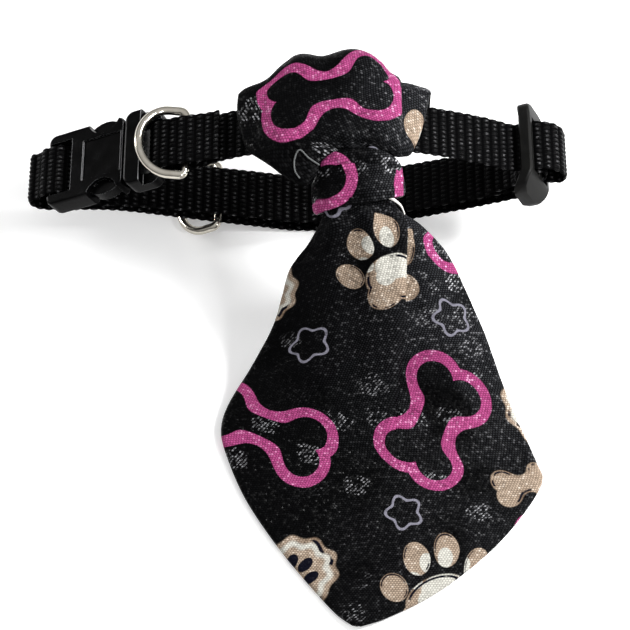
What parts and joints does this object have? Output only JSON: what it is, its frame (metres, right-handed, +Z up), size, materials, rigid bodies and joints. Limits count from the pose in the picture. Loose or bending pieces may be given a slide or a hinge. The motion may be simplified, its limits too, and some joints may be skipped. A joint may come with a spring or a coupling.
{
  "type": "dog necktie collar",
  "caption": "Short printed satin necktie gathered in a knot on a black nylon webbing dog collar with a side-release buckle, length slider and D-rings, lying open on a surface.",
  "frame": {"origin": "middle of the part's bounding box in plan, on the surface it lies on", "axes": "+Z up from the surface; +Y from the tie's tip towards the collar; +X from the buckle towards the length slider"},
  "size_m": [0.1467, 0.1466, 0.0515],
  "materials": {
    "webbing": "black ribbed nylon webbing",
    "buckle_plastic": "black satin plastic",
    "slider_plastic": "dark grey satin plastic",
    "nickel": "bright nickel plate on steel wire",
    "satin": "black satin with a woven pink, tan and lavender design"
  },
  "bodies": {
    "collar_and_tie": {"collar_strap": "webbing", "buckle_socket": "buckle_plastic", "buckle_plug": "buckle_plastic", "slide_adjuster": "slider_plastic", "tie_loop": "satin", "tie_knot": "satin", "tie_blade": "satin"},
    "front_ring": {"d_ring": "nickel"},
    "back_ring": {"d_ring_back": "nickel"}
  },
  "joints": [
    {"name": "front_ring_swing", "type": "hinge", "parent": "collar_and_tie", "child": "front_ring", "pos_m": [-0.0293, 0.0517, 0.0343], "axis": [0, 1, 0], "range_deg": [0, 130]},
    {"name": "back_ring_swing", "type": "hinge", "parent": "collar_and_tie", "child": "back_ring", "pos_m": [-0.0216, 0.0517, 0.0077], "axis": [0, 1, 0], "range_deg": [-105, 15]}
  ]
}
